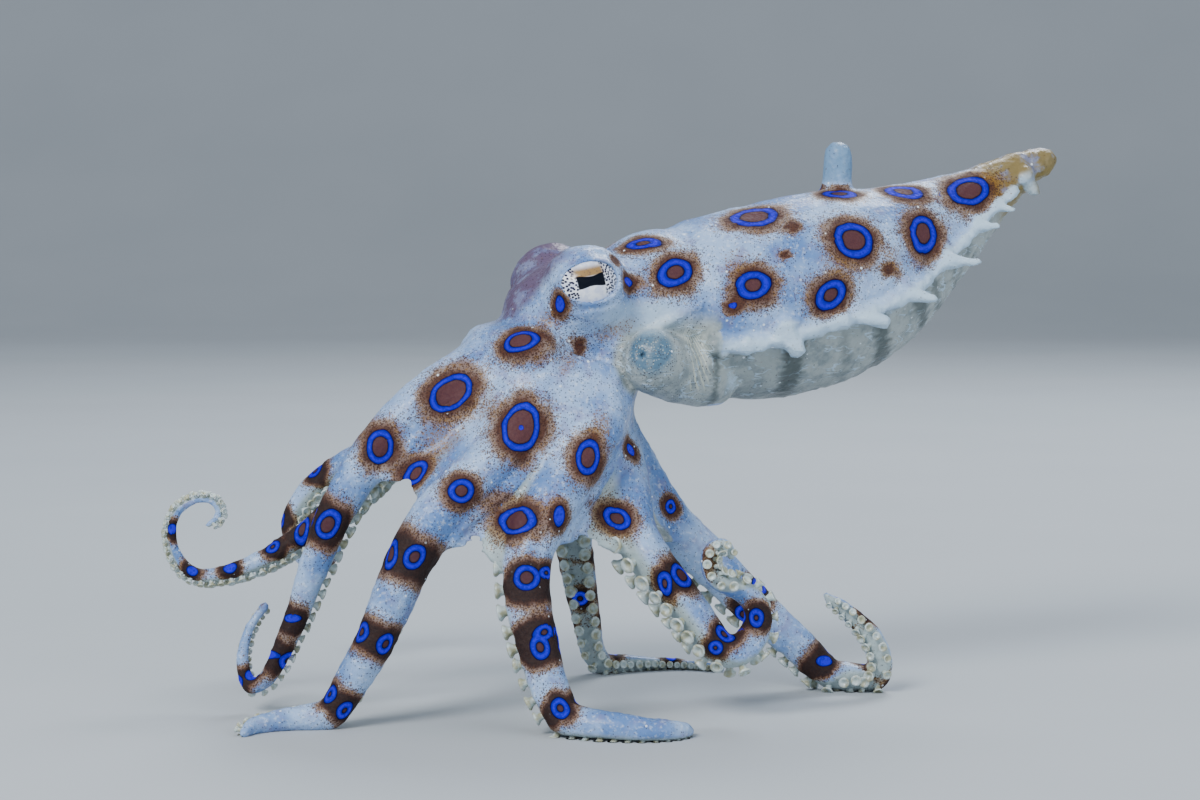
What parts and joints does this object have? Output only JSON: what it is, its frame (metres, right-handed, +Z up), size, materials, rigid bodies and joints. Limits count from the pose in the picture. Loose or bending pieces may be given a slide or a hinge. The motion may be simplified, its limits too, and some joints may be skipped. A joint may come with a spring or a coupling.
{
  "type": "blue-ringed octopus",
  "caption": "Still life-size blue-ringed octopus standing on its arms, pointed mantle raised behind, blue rings on brown spots over pale skin.",
  "frame": {"origin": "bottom centre of the box round the whole animal, on the surface it stands on", "axes": "+X from the front arms towards the raised tip of the mantle, +Y towards the animal's right-hand side, +Z up"},
  "size_m": [0.0926, 0.046, 0.056],
  "materials": {
    "skin": "soft moist skin, pale blue-grey, with brown spots that carry electric-blue rings",
    "mouth": "moist flesh round the beak",
    "eye": "wet, glossy, pearly iris with a black bar pupil"
  },
  "bodies": {
    "root": {"arm_left_1_base": "skin", "arm_left_1_middle": "skin", "arm_left_1_tip": "skin", "arm_left_2_base": "skin", "arm_left_2_middle": "skin", "arm_left_2_tip": "skin", "arm_left_3_base": "skin", "arm_left_3_middle": "skin", "arm_left_3_tip": "skin", "arm_left_4_base": "skin", "arm_left_4_middle": "skin", "arm_left_4_tip": "skin", "arm_right_1_base": "skin", "arm_right_1_middle": "skin", "arm_right_1_tip": "skin", "arm_right_2_base": "skin", "arm_right_2_middle": "skin", "arm_right_2_tip": "skin", "arm_right_3_base": "skin", "arm_right_3_middle": "skin", "arm_right_3_tip": "skin", "arm_right_4_base": "skin", "arm_right_4_middle": "skin", "arm_right_4_tip": "skin", "eye_left": "eye", "eye_right": "eye", "funnel": "skin", "head": "skin", "mantle": "skin", "mantle_tip": "skin", "mouth": "mouth", "web_left_1_left_2": "skin", "web_left_2_left_3": "skin", "web_left_3_left_4": "skin", "web_left_4_right_4": "skin", "web_right_1_left_1": "skin", "web_right_2_right_1": "skin", "web_right_3_right_2": "skin", "web_right_4_right_3": "skin"}
  },
  "joints": []
}
